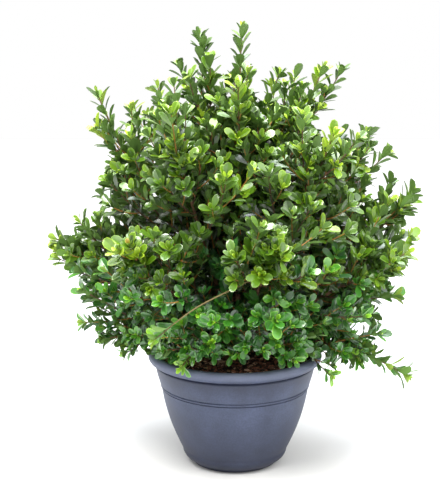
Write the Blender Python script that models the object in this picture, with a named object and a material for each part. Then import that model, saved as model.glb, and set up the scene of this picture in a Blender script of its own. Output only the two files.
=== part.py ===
"""A potted small-leaved evergreen azalea, about 0.76 m tall over a pot of 305 mm.

The pot is a turned shell filled with bark mix. A short trunk stands on the mix, one limb after another leaves
it in four tiers, and each limb is a bare tapering bough as far as the foliage mass that it carries.
Metres, +Z up, origin at the centre of the pot's flat underside. Headings turn from +X towards +Y, in degrees.
"""

import math
from collections import namedtuple

import bmesh
import bpy
import numpy as np

# Gaps and clearances
SEAT_GAP = 0.0003  # between a piece and what carries it
CELL_GAP = 0.0008  # that a mass keeps from the next one
LIMB_GAP = 0.0012  # that leaves and twigs keep from a bare bough
POT_CLEARANCE = 0.003  # that they keep above the rim and beside it
FLOOR_CLEARANCE = 0.03  # and above the floor

# Pot
RIM_RADIUS = 0.1525
POT_HEIGHT = 0.2
LIP_RADIUS = 0.009
WALL = 0.004
FLOOR = 0.006
FOOT_RADIUS = 0.076
HEEL_RADIUS, HEEL_HEIGHT = 0.0925, 0.024
GROOVE_RADIUS, GROOVE_HEIGHT = 0.1297, 0.1375
COLLAR_TOP_RADIUS, COLLAR_TOP_HEIGHT = 0.1408, 0.1785
HEEL_ROUND = 0.019  # radius of the rounding between foot and side
BODY_BULGE = 0.0052  # how far the side bows out between heel and groove
POT_SIDES = 32
DRAIN_RADIUS, DRAIN_CIRCLE, DRAIN_COUNT = 0.006, 0.048, 5
DRAIN_HEADING = 97.0  # of the first drain hole

# Potting mix
MIX_HEIGHT = 0.185
MIX_FALL = 0.004  # from the trunk's foot to the wall
MIX_SEED = 11

# Trunk
TRUNK_LEAN = (0.0035, 0.0015)  # sideways shift of its top
TRUNK_HEIGHT = 0.072
FLARE_RADIUS, NECK_RADIUS, CROWN_RADIUS = 0.027, 0.015, 0.0168
TRUNK_SIDES, TRUNK_STEPS = 10, 9
TRUNK_CLEARANCE = (0.006, 0.004)  # that leaves keep beside its head and above it

# Limbs: each ring leaves the trunk at one level, from a start radius inside its wood. A limb is (heading,
# spread, height) of its furthest leaf.
Ring = namedtuple("Ring", "name level start root_radius bend_out bend_up limbs")
RINGS = (
    Ring("low", 0.2005, 0.008, 0.0039, 0.50, 0.058, (
        (348, 0.306, 0.166), (38, 0.290, 0.265), (88, 0.275, 0.250), (138, 0.280, 0.270),
        (189, 0.238, 0.224), (243, 0.205, 0.215), (297, 0.210, 0.230))),
    Ring("middle", 0.2175, 0.008, 0.0040, 0.54, 0.100, (
        (3, 0.314, 0.485), (47, 0.300, 0.455), (93, 0.290, 0.465), (138, 0.300, 0.450),
        (182, 0.317, 0.405), (230, 0.270, 0.410), (283, 0.245, 0.420), (333, 0.316, 0.405))),
    Ring("upper", 0.2345, 0.010, 0.0042, 0.54, 0.160, (
        (16, 0.245, 0.578), (54, 0.190, 0.683), (92, 0.205, 0.625), (130, 0.222, 0.660),
        (174, 0.242, 0.655), (236, 0.180, 0.590), (316, 0.216, 0.600))),
    Ring("top", 0.2525, 0.009, 0.0042, 0.42, 0.240, (
        (73, 0.034, 0.764), (152, 0.072, 0.754), (10, 0.156, 0.698), (278, 0.070, 0.655))),
)
BOUGH_SHARE = 0.34  # of a limb's line that is bare bough
TIP_RADIUS = 0.0013
TAPER_POWER = 0.85
BOUGH_SIDES, BOUGH_STEPS = 5, 4

# Leafy shoots
SEED = 4370
GOLDEN_ANGLE = math.radians(137.508)
STEM_STEPS = 4
SHOOTS_PER_MASS = 5
SHOOT_STEPS = 2
SHOOT_LENGTHS = (0.125, 0.055)  # of the first and the last side shoot of a mass
SHOOT_ANGLES = (math.radians(62), math.radians(34))  # to the stem, likewise
SHOOT_LIFT = 0.55  # how much a side shoot turns up and outwards
SHOOT_RADII = (0.0017, 0.0012)
MASS_FIRST, MASS_LAST = 0.12, 0.86  # shares of the stem that carry side shoots

# Leaves, a little over twice life size so that a few hundred close the crown
LEAF_LENGTH, LEAF_WIDTH = 0.062, 0.037
LEAF_ROOT_SHARE = 0.62  # thickness of a leaf's root over the twig's radius
LEAF_TURN = 1.3  # how strongly a leaf turns its face out of the crown
LEAF_SHOULDER = 0.60  # where along it a leaf is widest
LEAF_TIP_SHARE = 0.38  # blunt tip's width over the leaf's
LEAF_KEEL = 0.0005  # thickness that the midrib keeps at the shoulders
STEM_LEAVES, SHOOT_LEAVES, ROSETTE_LEAVES = 4, 1, 2
ROSETTE_SCALE = 0.70
ROSETTE_ROOT = 0.003  # how far below a twig's end its last leaves are rooted
ROSETTE_REACH = 0.033  # how far a tip's leaves pass the end of its stem
CROWN_MIDDLE = 0.40  # height that leaves face away from
CROWN_REACH = 0.335  # furthest from the pot's axis that a leaf may end

# Dense inside of the crown: every mass has a core that fills its share of an ellipsoid
DENSE_MIDDLE = 0.375  # height of the ellipsoid's centre
DENSE_SPREAD, DENSE_RISE = 0.155, 0.175  # its half axes
DENSE_POWER = 3.0  # 2 would be a true ellipsoid, more is squarer
CORE_SIDES, CORE_ROWS = 5, 4
CORE_REACH = (0.006, 0.040)  # least and greatest distance of its faces from the stem
CORE_MARGIN = 0.0015
CORE_LEAST = 16  # of 80 parts of a stem inside the ellipsoid
CORE_SINK = 0.005  # depth of the roots of the leaves on it
CORE_LEAVES = 3
CORE_LEAF_FROM = 0.55  # place in the ellipsoid where a core's faces begin to bear leaves
SHOOT_LEAST_OUT = 1.08  # place in the ellipsoid that a side shoot has to reach


def unit(vector):
    return vector / np.linalg.norm(vector)


def heading_vector(degrees):
    angle = math.radians(degrees)
    return np.array([math.cos(angle), math.sin(angle), 0.0])


def mix_share(a, b, share):
    return a + (b - a) * share


# Meshes


def make_material(name, colour, roughness, metallic=0.0):
    material = bpy.data.materials.new(name)
    material.use_nodes = True
    shader = material.node_tree.nodes["Principled BSDF"]
    shader.inputs["Base Color"].default_value = (*colour, 1.0)
    shader.inputs["Roughness"].default_value = roughness
    shader.inputs["Metallic"].default_value = metallic
    return material


def facing_out(points, faces):
    """The faces turned so that a closed shape of triangles or quads has a positive volume."""
    volume = 0.0
    for face in faces:
        for i in range(1, len(face) - 1):
            volume += np.dot(points[face[0]], np.cross(points[face[i]], points[face[i + 1]]))
    return faces if volume > 0 else [tuple(reversed(face)) for face in faces]


def make_object(name, points, faces, material, collection=None):
    mesh = bpy.data.meshes.new(name)
    mesh.from_pydata([tuple(p) for p in points], [], facing_out(points, faces))
    mesh.materials.append(material)
    mesh.validate()
    made = bpy.data.objects.new(name, mesh)
    (collection or bpy.context.scene.collection).objects.link(made)
    return made


def turned(profile, sides):
    """Points and faces of a profile of (radius, height) turned about Z, which runs from axis to axis."""
    points, rows = [], []
    for radius, height in profile:
        if radius == 0.0:
            rows.append([len(points)])
            points.append((0.0, 0.0, height))
            continue
        rows.append(range(len(points), len(points) + sides))
        for i in range(sides):
            angle = 2 * math.pi * i / sides
            points.append((radius * math.cos(angle), radius * math.sin(angle), height))
    faces = []
    for low, high in zip(rows, rows[1:]):
        for i in range(sides):
            j = (i + 1) % sides
            if len(low) == 1:
                faces.append((low[0], high[j], high[i]))
            elif len(high) == 1:
                faces.append((low[i], low[j], high[0]))
            else:
                faces.append((low[i], low[j], high[j], high[i]))
    return np.array(points), faces


def cross_frames(line):
    """Two unit vectors across the line at each of its points, carried along without twist."""
    along = np.gradient(line, axis=0)
    along /= np.linalg.norm(along, axis=1)[:, None]
    first = np.cross(along[0], (0.0, 0.0, 1.0) if abs(along[0][2]) < 0.9 else (1.0, 0.0, 0.0))
    sides = [unit(first)]
    for tangent in along[1:]:
        sides.append(unit(sides[-1] - tangent * np.dot(sides[-1], tangent)))
    sides = np.array(sides)
    return along, sides, np.cross(along, sides)


def tube(line, radii, sides):
    """Points and faces of a closed tube with flat ends, round or three-sided, along a line."""
    _, across, over = cross_frames(line)
    angles = np.arange(sides) * 2 * math.pi / sides
    ring = across[:, None] * np.cos(angles)[None, :, None] + over[:, None] * np.sin(angles)[None, :, None]
    points = (line[:, None] + ring * np.asarray(radii)[:, None, None]).reshape(-1, 3)
    faces = [tuple(range(sides)), tuple(range(len(points) - sides, len(points)))]
    faces[0] = tuple(reversed(faces[0]))
    for row in range(len(line) - 1):
        for i in range(sides):
            j = (i + 1) % sides
            low, high = row * sides, (row + 1) * sides
            faces.append((low + i, low + j, high + j, high + i))
    return points, faces


def fuse(base, parts, solver="EXACT"):
    """One solid of base and the parts in the collection, which are then removed. Loose scraps are dropped."""
    modifier = base.modifiers.new("join", "BOOLEAN")
    modifier.operation = "UNION"
    modifier.operand_type = "COLLECTION"
    modifier.collection = parts
    modifier.solver = solver
    take_result(base)
    for part in list(parts.objects):
        bpy.data.objects.remove(part)
    bpy.data.collections.remove(parts)
    keep_main_shell(base.data)


def cut_away(base, cutter):
    """Takes the cutter's shape out of base, and removes the cutter."""
    modifier = base.modifiers.new("cut", "BOOLEAN")
    modifier.operation = "DIFFERENCE"
    modifier.object = cutter
    modifier.solver = "EXACT"
    take_result(base)
    bpy.data.objects.remove(cutter)
    keep_main_shell(base.data)


def take_result(base):
    """Applies base's modifiers to its mesh."""
    bpy.context.view_layer.update()
    graph = bpy.context.evaluated_depsgraph_get()
    result = bpy.data.meshes.new_from_object(base.evaluated_get(graph))
    base.modifiers.clear()
    old, base.data = base.data, result
    bpy.data.meshes.remove(old)


def keep_main_shell(mesh):
    """Keeps the largest connected shell: a scrap or a sealed hollow is another one."""
    work = bmesh.new()
    work.from_mesh(mesh)
    unseen, shells = set(work.verts), []
    while unseen:
        start = unseen.pop()
        shell, edge = {start}, [start]
        while edge:
            for link in edge.pop().link_edges:
                for vertex in link.verts:
                    if vertex in unseen:
                        unseen.discard(vertex)
                        shell.add(vertex)
                        edge.append(vertex)
        shells.append(shell)
    main = max(shells, key=len)
    for shell in shells:
        if shell is not main:
            bmesh.ops.delete(work, geom=list(shell), context="VERTS")
    work.to_mesh(mesh)
    work.free()


def shade_round(made, degrees=40):
    made.data.shade_smooth()
    made.data.set_sharp_from_angle(angle=math.radians(degrees))


# Pot and mix


def arc(centre, radius, start, end, steps):
    """Points on a circle round centre, from start to end in degrees."""
    angles = np.radians(np.linspace(start, end, steps + 1))
    return [(centre[0] + radius * math.cos(a), centre[1] + radius * math.sin(a)) for a in angles]


def body_line(steps):
    """The pot's side from heel to groove: a straight taper bowed out by BODY_BULGE."""
    points = []
    for i in range(steps + 1):
        t = i / steps
        bow = BODY_BULGE * 4 * t * (1 - t)
        points.append((
            mix_share(HEEL_RADIUS, GROOVE_RADIUS, t) + bow,
            mix_share(HEEL_HEIGHT, GROOVE_HEIGHT, t),
        ))
    return points


def pot_outside():
    """Foot, rounded heel, bowed side, groove, collar and rolled lip, from the underside's centre upwards."""
    lip = (RIM_RADIUS - LIP_RADIUS, POT_HEIGHT - LIP_RADIUS)
    heel = arc((HEEL_RADIUS - HEEL_ROUND, HEEL_HEIGHT), HEEL_ROUND, -62, -18, 2)
    groove = [
        (GROOVE_RADIUS - 0.0014, GROOVE_HEIGHT + 0.0012),
        (GROOVE_RADIUS + 0.0018, GROOVE_HEIGHT + 0.0032),
    ]
    collar = [
        (COLLAR_TOP_RADIUS - 0.0040, GROOVE_HEIGHT + 0.024),
        (COLLAR_TOP_RADIUS, COLLAR_TOP_HEIGHT),
    ]
    return [
        (0.0, 0.0), (FOOT_RADIUS - 0.0015, 0.0), (FOOT_RADIUS, 0.0015),
        *heel, *body_line(5), *groove, *collar, *arc(lip, LIP_RADIUS, -80, 120, 5),
    ]


def pot_inside():
    """The inner wall, from the lip down to the middle of the floor."""
    belly = mix_share(HEEL_RADIUS, GROOVE_RADIUS, 0.5) + BODY_BULGE
    return [
        (RIM_RADIUS - 2 * LIP_RADIUS + 0.001, POT_HEIGHT - LIP_RADIUS),
        (COLLAR_TOP_RADIUS - WALL - 0.003, COLLAR_TOP_HEIGHT - 0.006),
        (GROOVE_RADIUS - WALL, GROOVE_HEIGHT),
        (belly - WALL, mix_share(HEEL_HEIGHT, GROOVE_HEIGHT, 0.5)),
        (HEEL_RADIUS - WALL, HEEL_HEIGHT),
        (FOOT_RADIUS - WALL, FLOOR),
        (0.0, FLOOR),
    ]


def inner_radius(height):
    """The inner wall's radius at a height."""
    wall = sorted((h, r) for r, h in pot_inside()[:-1])
    return float(np.interp(height, [h for h, _ in wall], [r for _, r in wall]))


def make_pot(material):
    points, faces = turned([*pot_outside(), *pot_inside()], POT_SIDES)
    pot = make_object("pot", points, faces, material)
    hole = [(0.0, -FLOOR), (DRAIN_RADIUS, -FLOOR), (DRAIN_RADIUS, 2 * FLOOR), (0.0, 2 * FLOOR)]
    for i in range(DRAIN_COUNT):
        at = heading_vector(DRAIN_HEADING + i * 360 / DRAIN_COUNT) * DRAIN_CIRCLE
        drill, walls = turned(hole, 8)
        cut_away(pot, make_object("drain", drill + at, walls, material))
    shade_round(pot)


def mix_top(radius, angle, waves):
    """Height of the mix: highest at the trunk, lower at the wall, with a few low waves of bark between."""
    share = radius / inner_radius(MIX_HEIGHT)
    flat = min(1.0, max(0.0, (radius - FLARE_RADIUS - 0.004) / 0.02))
    ripple = sum(size * math.sin(turns * angle + phase + 40 * radius) for size, turns, phase in waves)
    return MIX_HEIGHT - MIX_FALL * share**2 * flat + ripple * flat * (1 - share**4)


def make_mix(material):
    """The filling: a plug that keeps SEAT_GAP from the pot, uneven on top but for a flat seat for the trunk."""
    rng = np.random.default_rng(MIX_SEED)
    waves = [(0.0011, n, rng.uniform(0, 2 * math.pi)) for n in (2, 3, 5)]
    wall = [(r - SEAT_GAP, h + (SEAT_GAP if h == FLOOR else 0.0)) for r, h in reversed(pot_inside()[1:-1])]
    edge = inner_radius(MIX_HEIGHT - MIX_FALL) - SEAT_GAP
    rings = [edge, 0.098, 0.062, FLARE_RADIUS + 0.004]
    profile = [(0.0, FLOOR + SEAT_GAP), *wall, *[(r, MIX_HEIGHT) for r in rings], (0.0, MIX_HEIGHT)]
    points, faces = turned(profile, POT_SIDES)
    first = 1 + POT_SIDES * len(wall)
    for i in range(first, len(points) - 1):
        x, y, _ = points[i]
        points[i][2] = mix_top(math.hypot(x, y), math.atan2(y, x), waves)
    make_object("potting_mix", points, faces, material)


# Trunk and boughs


def trunk_line(steps):
    """The trunk's axis, leaning a little, from just above the mix to its head."""
    shares = np.linspace(0.0, 1.0, steps + 1)
    foot = MIX_HEIGHT + SEAT_GAP
    return np.stack([
        TRUNK_LEAN[0] * shares**2, TRUNK_LEAN[1] * shares**2, foot + (TRUNK_HEIGHT - SEAT_GAP) * shares,
    ], axis=1)


def trunk_radii(shares):
    """Root flare at the foot, a neck, and a wider head where the limbs leave, rounded off at the top."""
    flare = (FLARE_RADIUS - NECK_RADIUS) * np.exp(-shares * 7.0)
    head = (CROWN_RADIUS - NECK_RADIUS) * np.clip((shares - 0.15) / 0.3, 0.0, 1.0)
    dome = np.sqrt(np.clip(1.0 - np.clip((shares - 0.82) / 0.2, 0.0, 1.0) ** 2, 0.0, 1.0))
    return (NECK_RADIUS + flare + head) * dome


def make_trunk(material):
    shares = np.linspace(0.0, 1.0, TRUNK_STEPS + 1)
    line = trunk_line(TRUNK_STEPS)
    points, faces = tube(line, trunk_radii(shares), TRUNK_SIDES)
    points[:TRUNK_SIDES, 2] = line[0][2]
    trunk = make_object("trunk", points, faces, material)
    shade_round(trunk)


def trunk_cutter(material):
    """The trunk's outline SEAT_GAP larger all round, which a bough's root is cut by."""
    shares = np.linspace(0.0, 1.0, TRUNK_STEPS + 1)
    line = trunk_line(TRUNK_STEPS)
    line[-1][2] += SEAT_GAP
    radii = trunk_radii(shares) + SEAT_GAP * 1.1
    return make_object("trunk_cutter", *tube(line, radii, TRUNK_SIDES), material)


def limb_line(ring, limb, steps=40):
    """A limb's axis: a quadratic curve from inside the trunk, by a bend, to the bud below its furthest leaf."""
    heading, spread, height = limb
    out = heading_vector(heading)
    share = (ring.level - MIX_HEIGHT) / TRUNK_HEIGHT
    root = np.array([TRUNK_LEAN[0] * share**2, TRUNK_LEAN[1] * share**2, ring.level]) + out * ring.start
    tip = out * spread + np.array([0.0, 0.0, height])
    bend = out * spread * ring.bend_out + np.array([0.0, 0.0, ring.level + ring.bend_up])
    tip = tip - unit(tip - bend) * ROSETTE_REACH
    t = np.linspace(0.0, 1.0, steps + 1)[:, None]
    return (1 - t) ** 2 * root + 2 * t * (1 - t) * bend + t**2 * tip


def limb_radius(ring, share):
    return TIP_RADIUS + (ring.root_radius - TIP_RADIUS) * (1 - share) ** TAPER_POWER


def line_part(line, start, end, steps):
    """Steps + 1 points on a line between two shares of its length, and those shares."""
    shares = np.linspace(start, end, steps + 1)
    lengths = np.concatenate([[0.0], np.cumsum(np.linalg.norm(np.diff(line, axis=0), axis=1))])
    at = shares * lengths[-1]
    return np.stack([np.interp(at, lengths, line[:, k]) for k in range(3)], axis=1), shares


def make_bough(name, ring, line, material):
    part, shares = line_part(line, 0.0, BOUGH_SHARE, BOUGH_STEPS)
    made = make_object(name, *tube(part, limb_radius(ring, shares), BOUGH_SIDES), material)
    cut_away(made, trunk_cutter(material))
    shade_round(made)


# Foliage masses


class Space:
    """Says how far points lie from every limb, so that each mass keeps to the space nearest its own stem."""

    def __init__(self, limbs):
        self.stems = [line_part(line, BOUGH_SHARE, 1.0, 12)[0] for _, line in limbs]
        self.boughs = [line_part(line, 0.0, BOUGH_SHARE, 10) for _, line in limbs]
        self.bough_radii = [limb_radius(ring, shares) for (ring, _), (_, shares) in zip(limbs, self.boughs)]

    @staticmethod
    def distance(points, line):
        """Each point's distance to the nearest part of a line."""
        start, step = line[:-1], np.diff(line, axis=0)
        away = points[:, None] - start[None]
        t = np.clip((away * step[None]).sum(2) / (step**2).sum(1)[None], 0.0, 1.0)
        gaps = np.linalg.norm(away - t[..., None] * step[None], axis=2)
        return gaps.min(1)

    def clear(self, points, own, margin=0.0):
        """True for each point that is nearest to stem own, and clear of boughs, trunk, mix and pot."""
        points = np.atleast_2d(points)
        mine = self.distance(points, self.stems[own])
        ok = np.ones(len(points), bool)
        for i, stem in enumerate(self.stems):
            if i != own:
                ok &= mine + 2 * margin + CELL_GAP < self.distance(points, stem)
        for (line, _), radii in zip(self.boughs, self.bough_radii):
            ok &= self.distance(points, line) > radii.max() + margin + LIMB_GAP
        across = np.hypot(points[:, 0], points[:, 1])
        beside_trunk = across > CROWN_RADIUS + TRUNK_CLEARANCE[0]
        ok &= beside_trunk | (points[:, 2] > MIX_HEIGHT + TRUNK_HEIGHT + TRUNK_CLEARANCE[1])
        over_pot = points[:, 2] > POT_HEIGHT + POT_CLEARANCE + margin
        beside_pot = (across > RIM_RADIUS + POT_CLEARANCE + margin) & (points[:, 2] > FLOOR_CLEARANCE)
        return ok & (over_pot | beside_pot)


def side_shoots(line, rng, count):
    """Lines of the side shoots of a stem: spaced by the golden angle, shorter and steeper towards its tip,
    and turning up and outwards as they grow."""
    along, across, over = cross_frames(line)
    turn = rng.uniform(0, 2 * math.pi)
    made = []
    for k in range(count):
        share = k / max(1, count - 1)
        at = mix_share(MASS_FIRST, MASS_LAST, share) * (len(line) - 1)
        near = int(round(at))
        low = min(int(at), len(line) - 2)
        root = mix_share(line[low], line[low + 1], at - low)
        turn += GOLDEN_ANGLE
        out = across[near] * math.cos(turn) + over[near] * math.sin(turn)
        angle = mix_share(*SHOOT_ANGLES, share) * rng.uniform(0.85, 1.15)
        length = mix_share(*SHOOT_LENGTHS, share) * rng.uniform(0.85, 1.12)
        heading = along[near] * math.cos(angle) + out * math.sin(angle)
        outward = unit(np.array([root[0], root[1], 0.35 * np.hypot(root[0], root[1]) + 0.08]))
        points = [root]
        for _ in range(SHOOT_STEPS):
            points.append(points[-1] + unit(heading) * length / SHOOT_STEPS)
            heading = unit(heading) + outward * SHOOT_LIFT / SHOOT_STEPS
        made.append(np.array(points))
    return made


def leaf(root, along, face_up, length, width, thickness):
    """A blunt obovate blade of eight faces, flat above and keeled below. Its root is an upright edge that
    sinks into the twig, and it is widest at LEAF_SHOULDER."""
    side = unit(np.cross(along, face_up))
    up = unit(np.cross(side, along))
    shoulder = root + along * length * LEAF_SHOULDER + up * (thickness / 2 + LEAF_KEEL)
    tip = root + along * length
    points = np.array([
        root + up * thickness / 2, root - up * thickness / 2,
        shoulder + side * width / 2, shoulder - side * width / 2,
        tip + side * width * LEAF_TIP_SHARE / 2, tip - side * width * LEAF_TIP_SHARE / 2,
    ])
    faces = [(0, 2, 3), (2, 4, 3), (4, 5, 3), (1, 4, 2), (1, 5, 4), (1, 3, 5), (0, 1, 2), (0, 3, 1)]
    return points, faces


def leaves_on(line, radii, count, rng):
    """Leaves along a shoot, then a rosette at its tip, each out of the middle of one of the twig's three
    faces. A leaf is its points and faces."""
    _, across, over = cross_frames(line)
    steps = len(line) - 1
    length = np.linalg.norm(np.diff(line, axis=0), axis=1).sum()
    face = int(rng.integers(3))
    made = []
    for k in range(count + ROSETTE_LEAVES):
        in_rosette = k >= count
        share = 1 - ROSETTE_ROOT / length if in_rosette else mix_share(0.30, 0.95, (k + 0.5) / count)
        face += 1
        turn = math.radians(60 + 120 * face + rng.uniform(-14, 14))
        low = min(int(share * steps), steps - 1)
        root = mix_share(line[low], line[low + 1], share * steps - low)
        axis = unit(line[low + 1] - line[low])
        out = across[low] * math.cos(turn) + over[low] * math.sin(turn)
        angle = math.radians(33 if in_rosette else 52) * rng.uniform(0.85, 1.15)
        heading = unit(axis * math.cos(angle) + out * math.sin(angle))
        outward = unit(root - np.array([0.0, 0.0, CROWN_MIDDLE]))
        facing = axis * math.sin(angle) - out * math.cos(angle) + outward * LEAF_TURN
        size = (ROSETTE_SCALE if in_rosette else 1.0) * rng.uniform(0.9, 1.08)
        thick = min(radii[low], radii[low + 1]) * LEAF_ROOT_SHARE
        made.append(leaf(root, heading, facing, LEAF_LENGTH * size, LEAF_WIDTH * size, thick))
    return made


def dense_share(points):
    """Where points lie in the crown's dense ellipsoid: 0 at its centre, 1 on its surface."""
    shifted = (np.atleast_2d(points) - (0.0, 0.0, DENSE_MIDDLE)) / (DENSE_SPREAD, DENSE_SPREAD, DENSE_RISE)
    return (np.abs(shifted) ** DENSE_POWER).sum(1) ** (1 / DENSE_POWER)


def core_faces():
    """Triangles between the rows of a core, then fans that close its two ends."""
    faces = []
    for row in range(CORE_ROWS - 1):
        low, high = row * CORE_SIDES, (row + 1) * CORE_SIDES
        for i in range(CORE_SIDES):
            j = (i + 1) % CORE_SIDES
            if row % 2:
                faces += [(low + i, low + j, high + j), (low + i, high + j, high + i)]
            else:
                faces += [(low + i, low + j, high + i), (low + j, high + j, high + i)]
    first, last = CORE_ROWS * CORE_SIDES, CORE_ROWS * CORE_SIDES + 1
    for i in range(CORE_SIDES):
        j = (i + 1) % CORE_SIDES
        faces.append((first, j, i))
        faces.append((last, (CORE_ROWS - 1) * CORE_SIDES + i, (CORE_ROWS - 1) * CORE_SIDES + j))
    return faces


def core_points(space, own, stem):
    """A faceted body round the stem's inner part. Each corner lies as far out as the dense ellipsoid and the
    mass's own space allow, and faces that would cut into another space are drawn in. None if the stem is nearly
    all outside the ellipsoid."""
    fine, shares = line_part(stem, 0.0, 1.0, 80)
    inside = shares[dense_share(fine) < 1.0]
    if len(inside) < CORE_LEAST:
        return None
    line, _ = line_part(stem, inside[0] + 0.02, inside[-1] * 0.97, CORE_ROWS + 1)
    _, across, over = cross_frames(line)
    middles = np.repeat(line[1:-1], CORE_SIDES, axis=0)
    rows, sides = np.divmod(np.arange(CORE_ROWS * CORE_SIDES), CORE_SIDES)
    turns = 2 * math.pi * (sides + 0.5 * (rows % 2)) / CORE_SIDES
    across, over = (np.repeat(part[1:-1], CORE_SIDES, axis=0) for part in (across, over))
    outs = across * np.cos(turns)[:, None] + over * np.sin(turns)[:, None]
    reaches = np.linspace(*CORE_REACH, 30)
    grid = middles[:, None] + outs[:, None] * reaches[None, :, None]
    flat = grid.reshape(-1, 3)
    free = (space.clear(flat, own, CORE_MARGIN) & (dense_share(flat) < 1.0)).reshape(len(turns), -1)
    last = np.where(free.all(1), len(reaches) - 1, np.maximum(free.argmin(1) - 1, 0))
    reach = reaches[last]
    faces = np.array(core_faces())
    mixes = np.array([(0.5, 0.5, 0.0), (0.0, 0.5, 0.5), (0.5, 0.0, 0.5), (0.34, 0.33, 0.33)])
    for _ in range(30):
        points = np.concatenate([middles + outs * reach[:, None], line[:1], line[-1:]])
        probes = np.einsum("mk,fkx->fmx", mixes, points[faces])
        bad = ~space.clear(probes.reshape(-1, 3), own, CORE_MARGIN).reshape(len(faces), -1).all(1)
        if not bad.any():
            break
        corners = np.unique(faces[bad])
        corners = corners[corners < len(reach)]
        reach[corners] = np.maximum(reach[corners] * 0.93, CORE_REACH[0])
    return points


def leaves_on_core(points, stem, rng):
    """Leaves out of the core's outer faces, spread evenly over it, slanting along its stem."""
    faces = np.array(core_faces())
    corners = points[faces]
    middles = corners.mean(1)
    normals = np.cross(corners[:, 1] - corners[:, 0], corners[:, 2] - corners[:, 0])
    areas = np.linalg.norm(normals, axis=1)
    normals /= areas[:, None]
    if ((middles - points.mean(0)) * normals).sum() < 0:
        normals = -normals
    along = unit(stem[-1] - stem[0])
    worth = areas * np.clip(dense_share(middles) - CORE_LEAF_FROM, 0.0, 1.0)
    worth *= rng.uniform(0.8, 1.2, len(areas))
    made = []
    for _ in range(CORE_LEAVES):
        pick = int(np.argmax(worth))
        worth *= np.clip(np.linalg.norm(middles - middles[pick], axis=1) / LEAF_WIDTH / 1.6, 0.0, 1.0) ** 2
        out = normals[pick]
        lean = unit(along + np.array([0.0, 0.0, 0.4]) + rng.uniform(-0.5, 0.5, 3))
        heading = unit(out * 0.75 + unit(lean - out * np.dot(lean, out)) * 0.75)
        root = middles[pick] - heading * CORE_SINK
        size = rng.uniform(0.9, 1.05)
        made.append(leaf(root, heading, out, LEAF_LENGTH * size, LEAF_WIDTH * size, 2 * SHOOT_RADII[0]))
    return made


def leaf_probe(points):
    """A leaf's corners outside the twig, the middles of its long edges and its middle."""
    root = points[:2].mean(0)
    outer = points[2:]
    edges = (outer[[0, 1]] + outer[[2, 3]]) / 2
    return np.concatenate([outer, (outer + root) / 2, outer.mean(0)[None], edges])


def within_reach(points):
    return np.hypot(points[:, 0], points[:, 1]).max() < CROWN_REACH


def grow(space, own, ring, line, rng):
    """The core, twigs and leaves of one mass, each as points and faces, the stem first. What would leave the
    mass's space or the crown's reach or touch a limb is skipped."""
    length = np.linalg.norm(np.diff(line, axis=0), axis=1).sum()
    stem, shares = line_part(line, BOUGH_SHARE + SEAT_GAP / length, 1.0, STEM_STEPS)
    radii = np.maximum(limb_radius(ring, shares), SHOOT_RADII[1])
    solids = [tube(stem, radii, 3)]
    blades = leaves_on(stem, radii, STEM_LEAVES, rng)
    body = core_points(space, own, stem)
    if body is not None:
        solids.append((body, core_faces()))
        blades += leaves_on_core(body, stem, rng)
    for shoot in side_shoots(stem, rng, SHOOTS_PER_MASS):
        inside = space.clear(shoot[1:], own, SHOOT_RADII[0])
        count = int(np.argmin(inside)) if not inside.all() else len(inside)
        if count < 2 or dense_share(shoot[count])[0] < SHOOT_LEAST_OUT:
            continue
        kept = shoot[: count + 1]
        thin = np.linspace(*SHOOT_RADII, SHOOT_STEPS + 1)[: count + 1]
        solids.append(tube(kept, thin, 3))
        blades += leaves_on(kept, thin, SHOOT_LEAVES, rng)
    for points, faces in blades:
        if within_reach(points) and space.clear(leaf_probe(points), own).all():
            solids.append((points, faces))
    return solids


def make_mass(name, solids, material):
    parts = bpy.data.collections.new(name + "_parts")
    bpy.context.scene.collection.children.link(parts)
    stem, *rest = solids
    base = make_object(name, *stem, material)
    for i, (points, faces) in enumerate(rest):
        make_object(f"{name}_part_{i}", points, faces, material, parts)
    fuse(base, parts)


def clear_scene():
    for old in list(bpy.data.objects):
        bpy.data.objects.remove(old)


def main():
    clear_scene()
    plastic = make_material("slate_blue_plastic", (0.115, 0.135, 0.205), 0.5)
    bark_mix = make_material("bark_mix", (0.055, 0.024, 0.014), 0.95)
    bark = make_material("azalea_bark", (0.16, 0.085, 0.045), 0.8)
    foliage = make_material("azalea_foliage", (0.07, 0.16, 0.03), 0.4)
    make_pot(plastic)
    make_mix(bark_mix)
    make_trunk(bark)
    limbs = [(ring, limb_line(ring, limb)) for ring in RINGS for limb in ring.limbs]
    names = [f"{ring.name}_{i + 1}" for ring in RINGS for i in range(len(ring.limbs))]
    space = Space(limbs)
    for own, (name, (ring, line)) in enumerate(zip(names, limbs)):
        make_bough("bough_" + name, ring, line, bark)
        solids = grow(space, own, ring, line, np.random.default_rng(SEED + own))
        make_mass("foliage_" + name, solids, foliage)


main()
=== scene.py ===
"""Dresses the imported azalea: leaves, shoots, bark, bark mix and pot, then floor, light and camera.

The crown grows by the rule of the part's source, carried on to finer shoots: limbs leave the trunk in four rings,
side shoots leave a limb's stem a golden angle apart, shorter and steeper towards its tip and turning up and
outwards, and leaves stand round each shoot up to a rosette at its end.
Metres, +Z up, origin under the middle of the pot. Headings turn from +X towards +Y, in degrees.
"""

import math
from collections import namedtuple

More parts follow.
